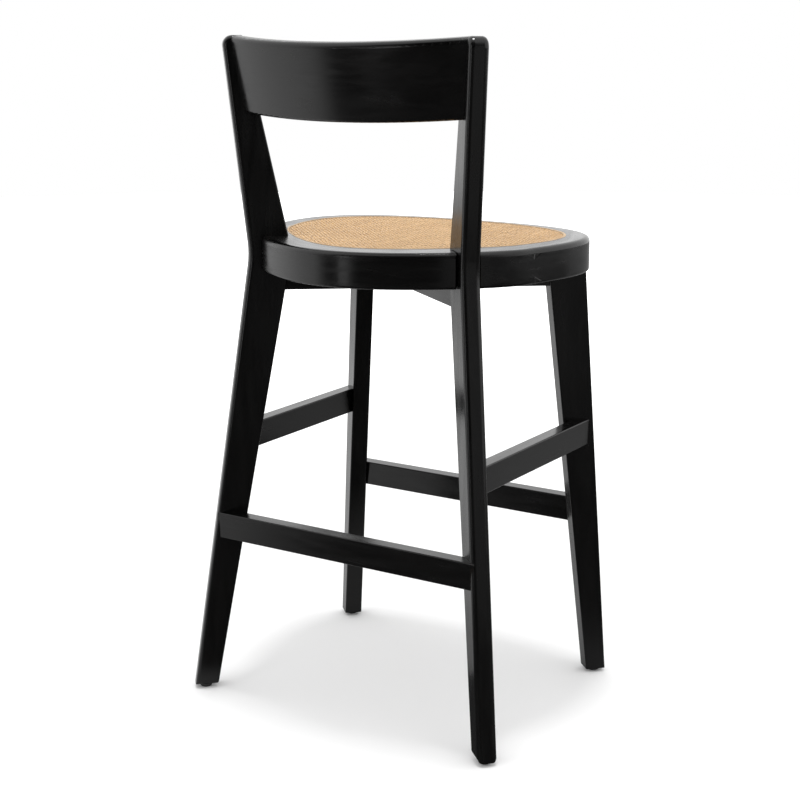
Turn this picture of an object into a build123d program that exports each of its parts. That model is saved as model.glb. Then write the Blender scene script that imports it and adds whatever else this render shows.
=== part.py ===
from build123d import *
import math
import os

# Bar stool with a footrest: turned-out plank legs, a notched seat ring with a pressed-in
# cane panel, a bent crest rail and four stretchers.  Millimetres, +Z up, the front faces -Y.
# The origin is on the floor under the middle of the stool.  "left" is the sitter's left, +X.

# ---- driving dimensions ----------------------------------------------------------------
SEAT_TOP = 750.0            # floor to the top of the seat ring
RING_DEEP = 54.0            # height of the seat ring
# Rounded, tapered outlines: half width and Y of the widest chord, reach to the front and to
# the rear of it, how fast the sides close in, and how square each half is (2 is an ellipse).
SEAT_SHAPE = dict(wide=243.0, y=65.5, front=291.0, rear=160.0, taper=0.352, square=(2.7, 2.12))
CANE_SHAPE = dict(wide=210.5, y=29.5, front=234.0, rear=150.0, taper=0.41, square=(2.35, 2.15))
SPLINE_WIDTH = 4.0
GROOVE_DEEP = 8.0
CANE_THICK = 1.2
CANE_LEDGE = 12.0           # ring left inside the groove, under the cane

PLANK = 30.0                # thickness of every leg
REAR_TURN = 47.0            # plan angle of the rear legs from the fore-and-aft line
REAR_X, REAR_Y = 202.0, 144.5       # outer edge of a rear leg at its bend
BEND_Z = 720.0
POST_TOP = 1058.0
POST_LEAN = 36.0            # outer edge, bend to top
REAR_SPLAY = 106.0          # outer edge, bend to floor
REAR_WIDTH_FOOT, REAR_WIDTH_SEAT, REAR_WIDTH_TOP = 37.0, 64.0, 32.0
HOUSING = 12.0              # the ring sits this deep in the inner edge of a rear leg
NOTCH_GAP = 1.5             # shadow gap between the ring's notch and the faces of a rear leg
NOTCH_FLARE = 3.0           # bevel of the notch where it opens in the ring's outer face

FRONT_TURN = 45.0
FRONT_X, FRONT_Y = 218.0, -190.0    # outer edge of a front leg at the ring
FRONT_SPLAY = 45.5
FRONT_SIDE_LEAN = 14.6              # the front legs also lean a little sideways
FRONT_WIDTH_FOOT, FRONT_WIDTH_SEAT = 33.0, 63.0

GLIDE_HEIGHT = 6.0
GLIDE_RADIUS = 10.0

STRETCHER_THICK, STRETCHER_DEEP = 24.0, 42.0
LOW_STRETCHER_Z = 281.0     # middle height of the front (footrest) and rear stretchers
SIDE_STRETCHER_Z = 420.0

RAIL_THICK, RAIL_DEEP = 22.0, 115.0
RAIL_RADIUS = 480.0         # back face of the crest rail
RAIL_BACK_Y, RAIL_MID_Z = 208.5, 990.5
RAIL_LEAN = 10.0

CROSS_THICK, CROSS_DEEP = 22.0, 33.0
DOWEL_RADIUS = 4.0

RING_BOTTOM = SEAT_TOP - RING_DEEP
SIDES = {"left": 1, "right": -1}
STANDING = (Align.CENTER, Align.CENTER, Align.MIN)


# ---- helpers ---------------------------------------------------------------------------
def radial(turn, side, front=False):
    """Unit vectors of a leg: outward along its width, and across its thickness (rearwards)."""
    a = math.radians(turn)
    s, c = math.sin(a), math.cos(a)
    if front:
        return Vector(side * s, -c, 0), Vector(side * c, s, 0)
    return Vector(side * s, c, 0), Vector(-side * c, s, 0)


def seat_loop(wide, y, front, rear, taper, square, inset=0.0):
    """Face inside a seat or cane outline, brought in by an inset."""
    pts = []
    for i in range(72):
        a = 2 * math.pi * i / 72
        s, c = math.sin(a), math.cos(a)
        n = square[1] if c > 0 else square[0]
        reach = rear if c > 0 else front
        r = (abs(s) ** n + abs(c) ** n) ** (-1 / n)
        pts.append(((wide - inset) * r * s * (1 - taper * r * c), y + (reach - inset) * r * c))
    return make_face(Spline(*pts, periodic=True))


def cane_loop(inset=0.0):
    return seat_loop(**CANE_SHAPE, inset=inset)


def slab(face, z0, z1):
    return Pos(0, 0, z0) * extrude(face, z1 - z0)


def rod(a, b, radius):
    """Cylinder between two points."""
    a, b = Vector(*a), Vector(*b)
    return Plane(a, z_dir=b - a) * Cylinder(radius, (b - a).length, align=STANDING)


def dowel(middle, direction, length, radius=DOWEL_RADIUS):
    """A dowel with chamfered ends, and its slightly deeper hole."""
    half = direction.normalized() * (length / 2)
    pin = rod(middle - half, middle + half, radius)
    pin = chamfer(pin.edges().filter_by(GeomType.CIRCLE), 0.8)
    grow = half + direction.normalized()
    return pin, rod(middle - grow, middle + grow, radius)


def bar(a, b, thick, deep, soft=2.0):
    """Straight bar with softened long edges between two points, standing on edge."""
    a, b = Vector(*a), Vector(*b)
    box = Box((b - a).length, thick, deep)
    box = fillet(box.edges().filter_by(Axis.X), soft)
    return Plane((a + b) * 0.5, x_dir=b - a, z_dir=(0, 0, 1)) * box


def screw(head, direction, length, shank=2.2, head_radius=4.2):
    """Countersunk wood screw: head centre, pointing direction, overall length."""
    body = Cone(head_radius, shank, 3.0, align=STANDING)
    body += Pos(0, 0, 3.0) * Cylinder(shank, length - 7.0, align=STANDING)
    body += Pos(0, 0, length - 4.0) * Cone(shank, 0.4, 4.0, align=STANDING)
    for turn in (0, 90):
        body -= Pos(0, 0, 0.7) * Rot(0, 0, turn) * Box(4.2, 0.9, 1.4)
    return Plane(head, z_dir=direction) * body


# ---- rear legs -------------------------------------------------------------------------
def rear_width(z):
    if z <= RING_BOTTOM:
        return REAR_WIDTH_FOOT + (REAR_WIDTH_SEAT - REAR_WIDTH_FOOT) * z / RING_BOTTOM
    share = (z - SEAT_TOP) / (POST_TOP - SEAT_TOP)
    return REAR_WIDTH_SEAT + (REAR_WIDTH_TOP - REAR_WIDTH_SEAT) * share


def rear_outer(z):
    if z >= BEND_Z:
        return POST_LEAN * (z - BEND_Z) / (POST_TOP - BEND_Z)
    return REAR_SPLAY * (BEND_Z - z) / BEND_Z


def make_rear_leg():
    foot = GLIDE_HEIGHT
    pts = [
        (rear_outer(foot), foot), (0, BEND_Z), (POST_LEAN, POST_TOP),
        (POST_LEAN - REAR_WIDTH_TOP, POST_TOP), (rear_outer(SEAT_TOP) - REAR_WIDTH_SEAT, SEAT_TOP),
        (HOUSING - REAR_WIDTH_SEAT, SEAT_TOP), (HOUSING - REAR_WIDTH_SEAT, RING_BOTTOM),
        (rear_outer(RING_BOTTOM) - REAR_WIDTH_SEAT, RING_BOTTOM),
        (rear_outer(foot) - rear_width(foot), foot),
    ]
    outline = make_face(Polyline(*pts, close=True))
    outline = fillet([v for v in outline.vertices() if abs(v.Y - BEND_Z) < 1], 150)
    outline = fillet([v for v in outline.vertices() if v.Y > POST_TOP - 1 and v.X > 20], 15)
    plank = Rot(90, 0, 0) * extrude(outline, PLANK / 2, both=True)

    def outer_side(e):
        c = e.center()
        return abs(abs(c.Y) - PLANK / 2) < 0.01 and c.X > rear_outer(c.Z) - 20 and c.Z < POST_TOP - 1

    plank = fillet(plank.edges().filter_by(outer_side), 8)
    inner = [e for e in plank.edges() if abs(abs(e.center().Y) - PLANK / 2) < 0.01
             and e.center().X < rear_outer(e.center().Z) - rear_width(e.center().Z) + 4
             and foot + 1 < e.center().Z < POST_TOP - 1 and e.length > 100]
    return fillet(inner, 2.5)


# ---- front legs ------------------------------------------------------------------------
def front_width(z):
    return FRONT_WIDTH_FOOT + (FRONT_WIDTH_SEAT - FRONT_WIDTH_FOOT) * z / RING_BOTTOM


def front_outer(z):
    return FRONT_SPLAY * (RING_BOTTOM - z) / RING_BOTTOM


def make_front_leg():
    low, high = -20.0, RING_BOTTOM + 20
    pts = [(front_outer(low), low), (front_outer(high), high),
           (front_outer(high) - front_width(high), high), (front_outer(low) - front_width(low), low)]
    plank = Rot(90, 0, 0) * extrude(make_face(Polyline(*pts, close=True)), PLANK / 2, both=True)
    plank = fillet([e for e in plank.edges() if e.length > 500], 2.5)
    lean = math.degrees(math.atan2(FRONT_SIDE_LEAN, RING_BOTTOM))
    plank = Pos(0, 0, RING_BOTTOM) * Rot(lean, 0, 0) * Pos(0, 0, -RING_BOTTOM) * plank
    keep = Pos(0, 0, (GLIDE_HEIGHT + RING_BOTTOM) / 2) * Box(400, 200, RING_BOTTOM - GLIDE_HEIGHT)
    return plank & keep


def mirrored(shape):
    return mirror(shape, about=Plane.YZ)


rear_leg = Pos(REAR_X, REAR_Y, 0) * Rot(0, 0, 90 - REAR_TURN) * make_rear_leg()
front_leg = Pos(FRONT_X, FRONT_Y, 0) * Rot(0, 0, FRONT_TURN - 90) * make_front_leg()


def rear_point(z, along, across, side=1):
    """A point on a rear leg: 'along' in from the outer edge, 'across' towards its rear face."""
    d, n = radial(REAR_TURN, side)
    return Vector(side * REAR_X, REAR_Y, z) + d * (rear_outer(z) - along) + n * across


def front_point(z, along, across, side=1):
    d, n = radial(FRONT_TURN, side, front=True)
    lean = FRONT_SIDE_LEAN * (RING_BOTTOM - z) / RING_BOTTOM
    return Vector(side * FRONT_X, FRONT_Y, z) + d * (front_outer(z) - along) + n * (lean + across)


# ---- seat ring, cane and spline --------------------------------------------------------
ring = slab(seat_loop(**SEAT_SHAPE), RING_BOTTOM, SEAT_TOP)
ring = fillet(ring.edges().group_by(Axis.Z)[-1], 8)
ring = fillet(ring.edges().group_by(Axis.Z)[0], 4)
hem = SPLINE_WIDTH
groove = SPLINE_WIDTH + CANE_THICK
ring -= slab(cane_loop(groove + CANE_LEDGE), RING_BOTTOM - 1, SEAT_TOP + 1)
ring -= slab(cane_loop(), SEAT_TOP - CANE_THICK, SEAT_TOP + 1)
ring -= slab(cane_loop() - cane_loop(groove), SEAT_TOP - GROOVE_DEEP, SEAT_TOP + 1)

# Notches for the rear legs, a little wider than the planks and bevelled where they open.
half = PLANK / 2 + NOTCH_GAP
bottom, mouth, far = HOUSING - REAR_WIDTH_SEAT, -19.5, 60
notch = Polyline((bottom, -half), (mouth, -half), (mouth + NOTCH_FLARE, -half - NOTCH_FLARE),
                 (far, -half - NOTCH_FLARE), (far, half + NOTCH_FLARE),
                 (mouth + NOTCH_FLARE, half + NOTCH_FLARE), (mouth, half), (bottom, half), close=True)
notch = slab(make_face(notch), RING_BOTTOM - 20, SEAT_TOP + 20)
notch = Pos(REAR_X, REAR_Y, 0) * Rot(0, 0, 90 - REAR_TURN) * notch
ring -= [notch, mirrored(notch)]

cane = slab(cane_loop(hem), SEAT_TOP - CANE_THICK, SEAT_TOP)
cane += slab(cane_loop(hem) - cane_loop(groove), SEAT_TOP - GROOVE_DEEP, SEAT_TOP - CANE_THICK)

spline = slab(cane_loop() - cane_loop(hem), SEAT_TOP - GROOVE_DEEP, SEAT_TOP + 0.6)
spline = fillet(spline.edges().group_by(Axis.Z)[-1], 1.2)

# ---- stretchers ------------------------------------------------------------------------
rear_mid = rear_point(LOW_STRETCHER_Z, rear_width(LOW_STRETCHER_Z) / 2, PLANK / 2)
front_mid = front_point(LOW_STRETCHER_Z, front_width(LOW_STRETCHER_Z) / 2, -PLANK / 2)
side_rear = rear_point(SIDE_STRETCHER_Z, rear_width(SIDE_STRETCHER_Z) / 2, -PLANK / 2)
side_front = front_point(SIDE_STRETCHER_Z, front_width(SIDE_STRETCHER_Z) / 2, PLANK / 2)


def cross_bar(mid):
    x = mid.X + 18
    return bar((-x, mid.Y, mid.Z), (x, mid.Y, mid.Z), STRETCHER_THICK, STRETCHER_DEEP)


along_side = (side_front - side_rear).normalized()
rear_stretcher = cross_bar(rear_mid) - rear_leg - mirrored(rear_leg)
front_stretcher = cross_bar(front_mid) - front_leg - mirrored(front_leg)
side_stretcher = bar(side_rear - along_side * 18, side_front + along_side * 18,
                     STRETCHER_THICK, STRETCHER_DEEP) - rear_leg - front_leg

# ---- crest rail ------------------------------------------------------------------------
arc = Circle(RAIL_RADIUS) - Circle(RAIL_RADIUS - RAIL_THICK)
arc &= Pos(0, RAIL_RADIUS) * Rectangle(2 * 216, 300)
rail = Pos(0, -RAIL_RADIUS, 0) * extrude(arc, RAIL_DEEP / 2, both=True)
rail = fillet([e for e in rail.edges() if e.center().Z > RAIL_DEEP / 2 - 0.1 and e.length > 300], 8)
rail = fillet([e for e in rail.edges() if e.center().Z < -RAIL_DEEP / 2 + 0.1 and e.length > 300], 4)
rail = Pos(0, RAIL_BACK_Y, RAIL_MID_Z) * Rot(-RAIL_LEAN, 0, 0) * rail
crest_rail = (rail - rear_leg - mirrored(rear_leg)).solids().sort_by(SortBy.VOLUME)[-1]

# ---- cross rails under the seat --------------------------------------------------------
cross_z = RING_BOTTOM - CROSS_DEEP / 2
cross_rear = rear_point(cross_z, REAR_WIDTH_SEAT - 8, 0)
cross_front = front_point(cross_z, FRONT_WIDTH_SEAT - 8, 0, side=-1)
along_cross = (cross_front - cross_rear).normalized()
cross = bar(cross_rear, cross_front, CROSS_THICK, CROSS_DEEP, 1.5) - rear_leg - mirrored(front_leg)
low_half = Pos(0, 0, cross_z - CROSS_DEEP / 2) * Box(700, 700, CROSS_DEEP)
high_half = Pos(0, 0, cross_z + CROSS_DEEP / 2) * Box(700, 700, CROSS_DEEP)
cross_left = cross - (mirrored(cross) & high_half)
cross_right = mirrored(cross) - (cross & low_half)

# ---- dowels ----------------------------------------------------------------------------
pins, holes = {}, []


def add_dowels(name, places):
    """Adds one node of dowels and remembers their holes."""
    made = [dowel(*p) for p in places]
    pins[name] = [m[0] for m in made]
    holes.extend(m[1] for m in made)


X_AXIS = Vector(1, 0, 0)
add_dowels("rear_stretcher_dowels", [
    (Vector(s * rear_mid.X, rear_mid.Y, LOW_STRETCHER_Z + dz), X_AXIS, 32)
    for s in SIDES.values() for dz in (-10, 10)])
add_dowels("footrest_dowels", [
    (Vector(s * front_mid.X, front_mid.Y, LOW_STRETCHER_Z + dz), X_AXIS, 32)
    for s in SIDES.values() for dz in (-10, 10)])
add_dowels("side_stretcher_dowels", [
    (Vector(s * p.X, p.Y, SIDE_STRETCHER_Z + dz), Vector(s * along_side.X, along_side.Y, 0), 32)
    for s in SIDES.values() for p in (side_rear, side_front) for dz in (-10, 10)])
add_dowels("cross_rail_dowels", [
    (Vector(s * p.X, p.Y, cross_z), Vector(s * along_cross.X, along_cross.Y, 0), 30)
    for s in SIDES.values()
    for p in (cross_rear + along_cross * 8, cross_front - along_cross * 8)])
add_dowels("front_leg_dowels", [
    (front_point(RING_BOTTOM, along, 0, s), Vector(0, 0, 1), 44, 5.0)
    for s in SIDES.values() for along in (14, 36)])
rail_ends = []
for s in SIDES.values():
    for z, along in ((958, 30), (1026, 20)):
        rail_ends.append((rear_point(z, along, PLANK / 2, s), Vector(s * 0.92, -0.38, 0), 30))
add_dowels("crest_rail_dowels", rail_ends)

# ---- screws and glides -----------------------------------------------------------------
ring_screws, glides, glide_pins = [], [], []
for s in SIDES.values():
    out, _ = radial(REAR_TURN, s)
    for z in (RING_BOTTOM + 14, RING_BOTTOM + 34):
        ring_screws.append(screw(rear_point(z, REAR_WIDTH_SEAT + SPLINE_WIDTH + 10, 0, s), out, 40))
    for foot in (rear_point(0, REAR_WIDTH_FOOT / 2, 0, s), front_point(0, FRONT_WIDTH_FOOT / 2, 0, s)):
        puck = Cylinder(GLIDE_RADIUS, GLIDE_HEIGHT, align=STANDING)
        puck = fillet(puck.edges().group_by(Axis.Z)[0], 3.5)
        nail = Pos(0, 0, 2.0) * Cylinder(1.5, 24, align=STANDING)
        nail += Pos(0, 0, 2.0) * Cylinder(4.0, 1.2, align=STANDING)
        glides.append(Pos(foot.X, foot.Y, 0) * (puck - nail))
        glide_pins.append(Pos(foot.X, foot.Y, 0) * nail)

# ---- nodes -----------------------------------------------------------------------------
nodes = {
    "rear_leg_left": rear_leg,
    "rear_leg_right": mirrored(rear_leg),
    "front_leg_left": front_leg,
    "front_leg_right": mirrored(front_leg),
    "crest_rail": crest_rail,
    "seat_ring": ring,
    "cane_panel": cane,
    "cane_spline": spline,
    "rear_stretcher": rear_stretcher,
    "front_stretcher_footrest": front_stretcher,
    "side_stretcher_left": side_stretcher,
    "side_stretcher_right": mirrored(side_stretcher),
    "cross_rail_left": cross_left,
    "cross_rail_right": cross_right,
}
for name, shape in nodes.items():
    if name.startswith("cane"):
        continue
    box = shape.bounding_box()
    for cutter in holes + ring_screws + glide_pins:
        cut = cutter.bounding_box()
        if (cut.min.X < box.max.X and cut.max.X > box.min.X and cut.min.Y < box.max.Y
                and cut.max.Y > box.min.Y and cut.min.Z < box.max.Z and cut.max.Z > box.min.Z):
            shape = shape - cutter
    nodes[name] = shape
for name, group in pins.items():
    nodes[name] = Compound(group)
nodes["ring_screws"] = Compound(ring_screws)
nodes["floor_glides"] = Compound(glides)
nodes["glide_pins"] = Compound(glide_pins)

os.makedirs("parts", exist_ok=True)
for name, shape in nodes.items():
    export_step(shape, f"parts/{name}.step")
    box = shape.bounding_box()
    print(f"{name:28s} solids {len(shape.solids())}  {box.min.X:7.1f} {box.min.Y:7.1f} {box.min.Z:7.1f}"
          f"  {box.max.X:7.1f} {box.max.Y:7.1f} {box.max.Z:7.1f}  volume {shape.volume:9.0f}")
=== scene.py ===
import math
import random

import bpy
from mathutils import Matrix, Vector


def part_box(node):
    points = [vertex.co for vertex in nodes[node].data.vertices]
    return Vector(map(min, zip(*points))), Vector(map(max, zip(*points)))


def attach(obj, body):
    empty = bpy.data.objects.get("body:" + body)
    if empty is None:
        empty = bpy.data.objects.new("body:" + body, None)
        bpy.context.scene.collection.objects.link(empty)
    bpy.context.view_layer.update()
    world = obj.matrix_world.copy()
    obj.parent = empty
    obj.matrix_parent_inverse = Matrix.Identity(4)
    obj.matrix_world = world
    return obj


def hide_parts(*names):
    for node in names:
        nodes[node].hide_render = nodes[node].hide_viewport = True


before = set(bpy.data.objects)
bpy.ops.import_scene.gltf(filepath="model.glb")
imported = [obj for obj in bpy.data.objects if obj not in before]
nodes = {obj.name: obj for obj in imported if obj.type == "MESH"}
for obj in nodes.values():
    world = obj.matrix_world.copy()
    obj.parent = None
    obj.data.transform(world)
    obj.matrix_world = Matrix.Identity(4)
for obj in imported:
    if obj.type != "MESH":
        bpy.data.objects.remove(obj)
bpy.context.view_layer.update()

# ---- driving values, in metres ----------------------------------------------------------
# Outer edge of the groove round the cane, as in the CAD: half width and Y of the chord where its
# two halves meet, reach to the front and to the rear of that chord, how fast the sides close in
# towards the rear, and how square each half is.
CANE_WIDE, CANE_Y = 0.2105, 0.0295
CANE_FRONT, CANE_REAR = 0.234, 0.150
CANE_TAPER = 0.41
CANE_SQUARE_FRONT, CANE_SQUARE_REAR = 2.35, 2.15
CANE_MARGIN = 0.0042        # the strands end this far inside that edge, just clear of the spline
WEAVE_DEPTH = 0.0007        # middle of the weave, below the top of the CAD panel
WEAVE_REACH = 0.30          # further from the origin than any strand
PITCH = 0.0042              # from strand to strand
STRAND_HALF, STRAND_THICK, STRAND_RISE = 0.00192, 0.00033, 0.00036
WEAVE_SEED = 5

FLOOR_RADIUS = 8.0
RING_RADIUS = 0.24          # makes turning round the ring into a length, for the grain
NORMALS_AGREE, NORMALS_PART = 0.988, 0.965  # cosines of about 9 and 15 degrees
CAMERA_SIDE = (-0.35, 0.94, 0.0)    # horizontal direction of the dark side of the studio
NEAR_SIDE = (-0.76, 0.65, 0.0)      # direction past the stool in which the floor's colour for reflections is painted dark
FILL = 1.18                 # even light for matt surfaces; glossy ones see the studio's gradient

CAMERA_PLACE = (-1.33046, 2.09983, 1.07161)
CAMERA_YAW, CAMERA_PITCH = 32.084, -12.295
CAMERA_LENS, CAMERA_SENSOR = 71.014, 36.0
CAMERA_SHIFT = (-0.0176, -0.0378)


# ---- node-graph helper ------------------------------------------------------------------
class Graph:
    """Builds the node tree of a material or a world with short calls."""

    def __init__(self, owner):
        owner.use_nodes = True
        self.owner = owner
        self.tree = owner.node_tree
        self.shader = self.tree.nodes.get("Principled BSDF")

    def put(self, socket, value):
        if isinstance(value, bpy.types.NodeSocket):
            self.tree.links.new(value, socket)
        else:
            socket.default_value = value

    def node(self, kind, out=0, settings=None, **inputs):
        """Adds a node and gives back one output; i0, i1 ... are inputs by number."""
        n = self.tree.nodes.new("ShaderNode" + kind)
        for key, value in (settings or {}).items():
            setattr(n, key, value)
        for key, value in inputs.items():
            numbered = key[0] == "i" and key[1:].isdigit()
            self.put(n.inputs[int(key[1:]) if numbered else key.replace("_", " ")], value)
        return n.outputs[out]

    def math(self, op, a, b=0.0, c=0.0):
        return self.node("Math", settings={"operation": op}, i0=a, i1=b, i2=c)

    def dot(self, a, b):
        return self.node("VectorMath", out=1, settings={"operation": "DOT_PRODUCT"}, i0=a, i1=b)

    def unit(self, a):
        return self.node("VectorMath", settings={"operation": "NORMALIZE"}, i0=a)

    def axis(self, where, k):
        return self.node("SeparateXYZ", out=k, Vector=where)

    def ramp(self, value, low, high, to_low=0.0, to_high=1.0, kind="LINEAR"):
        return self.node("MapRange", settings={"interpolation_type": kind}, Value=value,
                         From_Min=low, From_Max=high, To_Min=to_low, To_Max=to_high)

    def mix(self, share, a, b):
        return self.node("Mix", out=2, settings={"data_type": "RGBA"}, i0=share, i6=a, i7=b)

    def bump(self, height, strength, distance, **more):
        return self.node("Bump", Strength=strength, Distance=distance, Height=height, **more)

    def set(self, **sockets):
        for key, value in sockets.items():
            self.put(self.shader.inputs[key.replace("_", " ")], value)


def material(name):
    return Graph(bpy.data.materials.new(name))


def rgb(r, g, b):
    return (r, g, b, 1.0)


def grey(level):
    return rgb(level, level, level)


def own_place(g):
    """Coordinates in the piece's own frame."""
    return g.node("TexCoord", out=3)


def along(g, direction, squeeze):
    """Coordinates squeezed along a piece's grain, so that noise becomes streaks."""
    where = own_place(g)
    if direction == "ring":
        x, y, z = (g.axis(where, k) for k in range(3))
        turn = g.math("MULTIPLY", g.math("ARCTAN2", x, y), RING_RADIUS * squeeze)
        far = g.math("SQRT", g.math("ADD", g.math("MULTIPLY", x, x), g.math("MULTIPLY", y, y)))
        return g.node("CombineXYZ", X=turn, Y=far, Z=z)
    if not isinstance(direction, str):
        angle = -math.atan2(direction[1], direction[0])
        turned = g.node("VectorRotate", settings={"rotation_type": "Z_AXIS"}, Vector=where, Angle=angle)
        return g.node("Mapping", Vector=turned, Scale=(squeeze, 1, 1))
    scale = {"X": (squeeze, 1, 1), "Y": (1, squeeze, 1), "Z": (1, 1, squeeze)}[direction]
    return g.node("Mapping", Vector=where, Scale=scale)


# ---- materials --------------------------------------------------------------------------
def steady_normal(g, smooth):
    """The smooth normal, or the facet's own where the two disagree by more than a small turn."""
    facet = g.node("NewGeometry", out=3)
    disagree = g.ramp(g.dot(smooth, facet), NORMALS_AGREE, NORMALS_PART)
    return g.unit(g.mix(disagree, smooth, facet))


def lacquer(name, direction):
    """Black satin lacquer over open-grained wood: pores, long figure, faint rub at the edges."""
    g = material(name)
    pores = g.node("TexNoise", Vector=along(g, direction, 0.035), Scale=1100.0, Detail=3.0, Roughness=0.6)
    figure = g.node("TexNoise", Vector=along(g, direction, 0.12), Scale=70.0, Detail=4.0,
                    Roughness=0.55, Distortion=0.6)
    cloud = g.node("TexNoise", Vector=own_place(g), Scale=9.0, Detail=2.0)
    shade = g.mix(g.ramp(figure, 0.35, 0.65), rgb(0.0016, 0.0015, 0.0015), rgb(0.0036, 0.0034, 0.0033))
    pit = g.ramp(pores, 0.26, 0.46, 1.0, 0.0)
    shade = g.mix(g.math("MULTIPLY", pit, 0.7), shade, grey(0.0006))
    softened = g.node("Bevel", settings={"samples": 4}, Radius=0.0022)
    smooth = g.node("NewGeometry", out=1)
    edge = g.ramp(g.dot(softened, smooth), 0.995, 0.90)
    rub = g.math("MULTIPLY", edge, g.ramp(cloud, 0.45, 0.7))
    shade = g.mix(g.math("MULTIPLY", rub, 0.5), shade, rgb(0.014, 0.010, 0.007))
    rough = g.math("ADD", g.ramp(figure, 0.3, 0.7, 0.16, 0.27), g.ramp(cloud, 0.3, 0.7, -0.02, 0.04))
    height = g.math("SUBTRACT", g.math("MULTIPLY", figure, 0.5), g.math("MULTIPLY", pit, 0.2))
    g.set(Base_Color=shade, Roughness=rough, Specular_IOR_Level=0.4,
          Normal=g.bump(height, 0.2, 0.00025, Normal=steady_normal(g, smooth)))
    return g.owner


def cane(name, direction):
    """Split natural cane: streaky tones, long fibres, darker flecks."""
    g = material(name)
    strand = g.node("TexNoise", Vector=along(g, direction, 0.02), Scale=240.0, Detail=1.0)
    fibre = g.node("TexNoise", Vector=along(g, direction, 0.06), Scale=1600.0, Detail=2.0)
    patch = g.node("TexNoise", Vector=own_place(g), Scale=16.0, Detail=3.0)
    speck = g.node("TexNoise", Vector=along(g, direction, 0.35), Scale=260.0, Detail=2.0)
    tone = g.mix(g.ramp(strand, 0.32, 0.68), rgb(0.47, 0.275, 0.115), rgb(0.78, 0.52, 0.265))
    tone = g.mix(g.math("MULTIPLY", g.ramp(patch, 0.35, 0.7), 0.35), tone, rgb(0.52, 0.33, 0.165))
    tone = g.mix(g.math("MULTIPLY", g.ramp(speck, 0.54, 0.66), 0.65), tone, rgb(0.26, 0.13, 0.055))
    tone = g.mix(g.ramp(fibre, 0.3, 0.7, 0.0, 0.25), tone, rgb(0.50, 0.30, 0.13))
    g.set(Base_Color=tone, Roughness=g.ramp(fibre, 0.3, 0.7, 0.38, 0.55),
          Normal=g.bump(fibre, 0.3, 0.0002), Specular_IOR_Level=0.45)
    return g.owner


def reed(name):
    """Round reed pressed into the groove, with painted shade darkening it in the crease at its edges."""
    g = material(name)
    fibre = g.node("TexNoise", Vector=along(g, "ring", 0.03), Scale=1500.0, Detail=3.0)
    patch = g.node("TexNoise", Vector=own_place(g), Scale=30.0, Detail=2.0)
    tone = g.mix(g.ramp(patch, 0.35, 0.65), rgb(0.40, 0.26, 0.13), rgb(0.52, 0.36, 0.20))
    tone = g.mix(g.ramp(fibre, 0.35, 0.7, 0.0, 0.35), tone, rgb(0.36, 0.21, 0.09))
    # painted shade: ambient occlusion darkens the reed's tone almost to black in the crease against the
    # ring
    painted_shade_ao = g.node("AmbientOcclusion", out=1, settings={"samples": 8}, Distance=0.005)
    tone = g.mix(g.ramp(painted_shade_ao, 0.55, 0.95), rgb(0.03, 0.018, 0.01), tone)
    g.set(Base_Color=tone, Roughness=g.ramp(fibre, 0.3, 0.7, 0.42, 0.6),
          Normal=g.bump(fibre, 0.3, 0.0002))
    return g.owner


def raw_wood(name):
    """Unfinished beech of the dowels."""
    g = material(name)
    fleck = g.node("TexNoise", Vector=along(g, "X", 0.15), Scale=700.0, Detail=3.0)
    tone = g.mix(g.ramp(fleck, 0.35, 0.65), rgb(0.52, 0.33, 0.19), rgb(0.68, 0.48, 0.30))
    g.set(Base_Color=tone, Roughness=g.ramp(fleck, 0.3, 0.7, 0.6, 0.75),
          Normal=g.bump(fleck, 0.3, 0.0003))
    return g.owner


def zinc(name):
    """Zinc-plated steel with a mottled plating."""
    g = material(name)
    spangle = g.node("TexNoise", Vector=own_place(g), Scale=900.0, Detail=2.0)
    tone = g.mix(spangle, rgb(0.50, 0.50, 0.52), rgb(0.72, 0.72, 0.70))
    g.set(Base_Color=tone, Metallic=1.0, Roughness=g.ramp(spangle, 0.3, 0.7, 0.25, 0.45))
    return g.owner


def nylon(name):
    """Moulded black nylon with a fine spark texture and paler scuffs."""
    g = material(name)
    spark = g.node("TexNoise", Vector=own_place(g), Scale=2500.0, Detail=2.0)
    scuff = g.node("TexNoise", Vector=along(g, "Y", 0.1), Scale=900.0, Detail=3.0)
    tone = g.mix(g.ramp(scuff, 0.5, 0.7, 0.0, 0.5), grey(0.012), rgb(0.035, 0.034, 0.032))
    g.set(Base_Color=tone, Roughness=g.ramp(scuff, 0.4, 0.7, 0.45, 0.65),
          Normal=g.bump(spark, 0.25, 0.0002))
    return g.owner


def dress_nodes():
    """Gives every CAD node its material."""
    upright = lacquer("lacquer_upright", "Z")
    across = lacquer("lacquer_across", "X")
    fore_and_aft = lacquer("lacquer_fore_and_aft", "Y")
    steel = zinc("zinc_steel")
    beech = raw_wood("raw_beech")
    looks = {
        "crest_rail": across, "rear_stretcher": across, "front_stretcher_footrest": across,
        "cross_rail_left": lacquer("lacquer_cross_left", (0.79, 0.61)),
        "cross_rail_right": lacquer("lacquer_cross_right", (-0.79, 0.61)),
        "seat_ring": lacquer("lacquer_ring", "ring"),
        "front_leg_dowels": upright,    # the outer ones show under the ring's rounding
        "cane_panel": cane("cane_sheet", "X"),
        "cane_spline": reed("reed_spline"),
        "ring_screws": steel, "glide_pins": steel,
        "floor_glides": nylon("glide_nylon"),
    }
    for side in ("left", "right"):
        looks["rear_leg_" + side] = looks["front_leg_" + side] = upright
        looks["side_stretcher_" + side] = fore_and_aft
    for name, node in nodes.items():
        node.data.materials.clear()
        node.data.materials.append(looks.get(name, beech))


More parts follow.
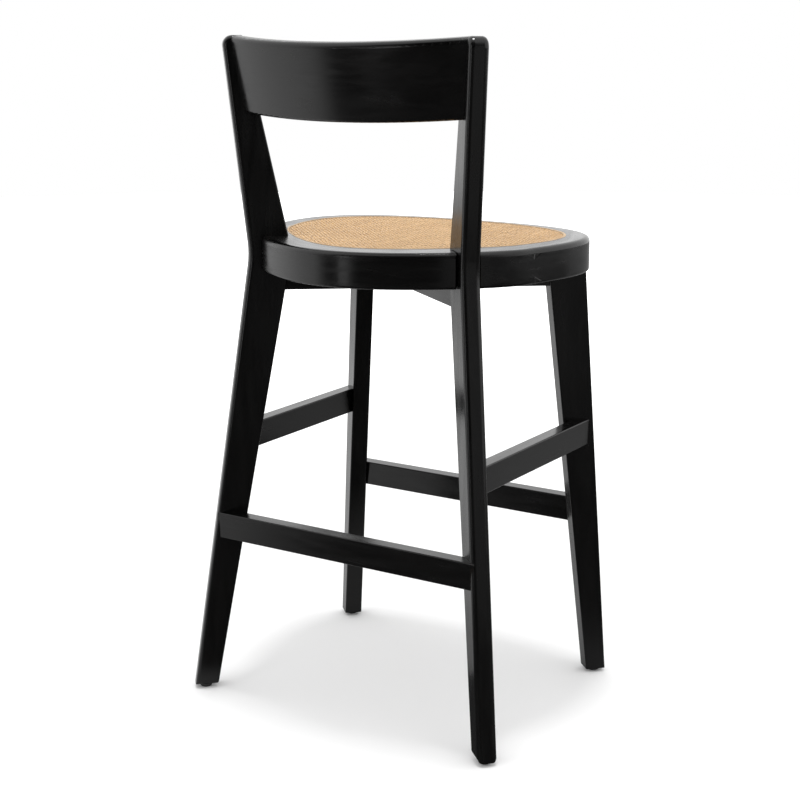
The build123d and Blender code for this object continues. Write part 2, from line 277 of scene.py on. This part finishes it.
# ---- woven cane -------------------------------------------------------------------------
def cane_outline(inset, count=720):
    """The groove's outer edge, rounded and tapered, brought in by an inset."""
    pts = []
    for i in range(count):
        a = 2 * math.pi * i / count
        s, c = math.sin(a), math.cos(a)
        n = CANE_SQUARE_REAR if c > 0 else CANE_SQUARE_FRONT
        r = (abs(s) ** n + abs(c) ** n) ** (-1 / n)
        reach = (CANE_REAR if c > 0 else CANE_FRONT) - inset
        pts.append(((CANE_WIDE - inset) * r * s * (1 - CANE_TAPER * r * c), CANE_Y + reach * r * c))
    return pts


def span(outline, axis, at):
    """Lowest and highest crossing of the line where coordinate 'axis' equals 'at'."""
    hits = []
    for p, q in zip(outline, outline[1:] + outline[:1]):
        if (p[axis] - at) * (q[axis] - at) < 0:
            t = (at - p[axis]) / (q[axis] - p[axis])
            hits.append(p[1 - axis] + t * (q[1 - axis] - p[1 - axis]))
    return (min(hits), max(hits)) if hits else None


def strand_stops(ends, i, axis):
    """Places along strand i, each with +1 where it passes over, -1 under, 0 between."""
    first = math.ceil(ends[0] / PITCH * 2)
    last = math.floor(ends[1] / PITCH * 2)
    flip = 1 if axis == 0 else -1
    stops = [(ends[0], 0.0)]
    for k in range(first, last + 1):
        over = 0.0 if k % 2 == 0 else flip * (-1) ** (i + (k - 1) // 2)
        stops.append((k * PITCH / 2, over))
    return stops + [(ends[1], 0.0)]


def strand_faces(base, count, axis):
    """Faces of one strand: four sides between its diamond sections, and two end caps."""
    faces = []
    for k in range(count - 1):
        for j in range(4):
            a, b = base + 4 * k + j, base + 4 * k + (j + 1) % 4
            quad = (a, b, b + 4, a + 4)
            faces.append(quad if axis == 1 else quad[::-1])
    for k in (0, count - 1):
        cap = tuple(base + 4 * k + j for j in range(4))
        faces.append(cap if (k == 0) == (axis == 0) else cap[::-1])
    return faces


def weave(name, axis, height, wobble):
    """One set of parallel, slightly uneven strands, each passing over and under the other set."""
    outline = cane_outline(CANE_MARGIN)
    verts, faces = [], []
    reach = int(WEAVE_REACH / PITCH)
    for i in range(-reach, reach + 1):
        at = (i + 0.5) * PITCH + wobble.uniform(-0.0003, 0.0003)
        half = STRAND_HALF * wobble.uniform(0.84, 1.04)
        ends = span(outline, axis, at)
        if not ends or ends[1] - ends[0] < 2 * PITCH:
            continue
        stops = strand_stops(ends, i, axis)
        faces += strand_faces(len(verts), len(stops), axis)
        for t, over in stops:
            z = height + over * STRAND_RISE * wobble.uniform(0.75, 1.15)
            for off, lift in ((-half, 0.0), (0.0, STRAND_THICK), (half, 0.0), (0.0, -STRAND_THICK)):
                place = (at + off, t) if axis == 0 else (t, at + off)
                verts.append((*place, z + lift))
    mesh = bpy.data.meshes.new(name)
    mesh.from_pydata(verts, [], faces)
    mesh.polygons.foreach_set("use_smooth", [True] * len(mesh.polygons))
    mesh.update()
    piece = bpy.data.objects.new(name, mesh)
    bpy.context.scene.collection.objects.link(piece)
    mesh.materials.append(cane("cane_" + name, "Y" if axis == 0 else "X"))
    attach(piece, "root")
    return piece


def weave_cane():
    wobble = random.Random(WEAVE_SEED)
    cane_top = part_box("cane_panel")[1].z
    for name, axis in (("cane_warp", 0), ("cane_weft", 1)):
        strands = weave(name, axis, cane_top - WEAVE_DEPTH, wobble)
        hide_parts("cane_panel")


# ---- floor, light, camera ---------------------------------------------------------------
def floor_paper():
    """White paper for the camera; for reflections its colour is painted, lighter on one side and dark on
    the camera's side, in place of the studio's light.
    """
    g = material("floor_paper")
    where = own_place(g)
    away = g.node("VectorMath", out=1, settings={"operation": "LENGTH"}, i0=where)
    seen = g.node("LightPath")
    glow = g.math("MULTIPLY", g.ramp(away, 0.9, 4.0, 0.0, 0.9), seen)
    # painted light: for reflections the paper is coloured lighter towards +X and darker towards -Y,
    # standing in for light from one side
    painted_side_light = g.mix(g.ramp(g.axis(where, 0), -0.5, 2.0), grey(0.42), grey(0.98))
    painted_side_light = g.mix(g.ramp(g.axis(where, 1), -2.2, 1.2), g.mix(0.5, grey(0), painted_side_light), painted_side_light)
    # painted shade: for reflections the paper is coloured nearly black towards the camera and past the
    # stool
    painted_dark_camera_side = g.ramp(g.dot(g.unit(where), CAMERA_SIDE), 0.46, 0.62)
    painted_dark_past_stool = g.ramp(g.dot(where, NEAR_SIDE), 0.0, 0.4)
    painted_reflection_tone = g.mix(g.math("MAXIMUM", painted_dark_camera_side, painted_dark_past_stool), painted_side_light, grey(0.05))
    grain = g.node("TexNoise", Vector=where, Scale=300.0, Detail=2.0)
    g.set(Base_Color=g.mix(seen, painted_reflection_tone, grey(0.86)), Roughness=0.9, Specular_IOR_Level=0.1,
          Emission_Color=grey(1), Emission_Strength=glow, Normal=g.bump(grain, 0.02, 0.0002))
    return g.owner


def make_floor(corners=48):
    turns = [2 * math.pi * k / corners for k in range(corners)]
    rim = [(FLOOR_RADIUS * math.cos(a), FLOOR_RADIUS * math.sin(a), 0.0) for a in turns]
    mesh = bpy.data.meshes.new("floor")
    mesh.from_pydata(rim, [], [tuple(range(corners))])
    floor = bpy.data.objects.new("floor", mesh)
    bpy.context.scene.collection.objects.link(floor)
    mesh.materials.append(floor_paper())


def make_world():
    """White for the camera, even for matt surfaces, bright to dark towards the camera for glossy ones."""
    world = bpy.data.worlds.new("studio")
    bpy.context.scene.world = world
    g = Graph(world)
    g.tree.nodes.clear()
    side = g.dot(g.node("TexCoord"), CAMERA_SIDE)
    gradient = g.ramp(side, 0.3, 0.72, 1.3, 0.02, kind="SMOOTHSTEP")
    camera_ray, diffuse_ray = g.node("LightPath", out=0), g.node("LightPath", out=2)
    strength = g.node("Mix", i0=camera_ray, i2=gradient, i3=1.0)
    strength = g.node("Mix", i0=diffuse_ray, i2=strength, i3=FILL)
    light = g.node("Background", Color=grey(1), Strength=strength)
    output = g.tree.nodes.new("ShaderNodeOutputWorld")
    g.put(output.inputs["Surface"], light)


def area(name, place, target, size, power):
    light = bpy.data.lights.new(name, "AREA")
    light.shape = "RECTANGLE"
    light.size, light.size_y = size
    light.energy = power
    lamp = bpy.data.objects.new(name, light)
    lamp.location = place
    lamp.rotation_euler = (Vector(target) - Vector(place)).to_track_quat("-Z", "Y").to_euler()
    bpy.context.scene.collection.objects.link(lamp)


def make_lights():
    area("rear_card", place=(1.1, 4.3, 0.9), target=(0, 0, 0.6), size=(0.8, 2.4), power=13)
    area("side_card", place=(-2.0, 1.25, 0.8), target=(0, 0, 0.8), size=(0.9, 1.5), power=1.2)
    area("overhead", place=(0.0, 0.0, 6.0), target=(0, 0, 0), size=(0.55, 0.55), power=105)


def make_camera():
    camera = bpy.data.objects.new("camera", bpy.data.cameras.new("camera"))
    bpy.context.scene.collection.objects.link(camera)
    yaw, pitch = math.radians(CAMERA_YAW), math.radians(CAMERA_PITCH)
    look = Vector((math.sin(yaw) * math.cos(pitch), -math.cos(yaw) * math.cos(pitch), math.sin(pitch)))
    camera.location = CAMERA_PLACE
    camera.rotation_euler = look.to_track_quat("-Z", "Y").to_euler()
    camera.data.sensor_width = CAMERA_SENSOR
    camera.data.lens = CAMERA_LENS
    camera.data.shift_x, camera.data.shift_y = CAMERA_SHIFT
    bpy.context.scene.camera = camera


dress_nodes()
weave_cane()
make_floor()
make_world()
make_lights()
make_camera()
bpy.context.scene.view_settings.view_transform = "Standard"
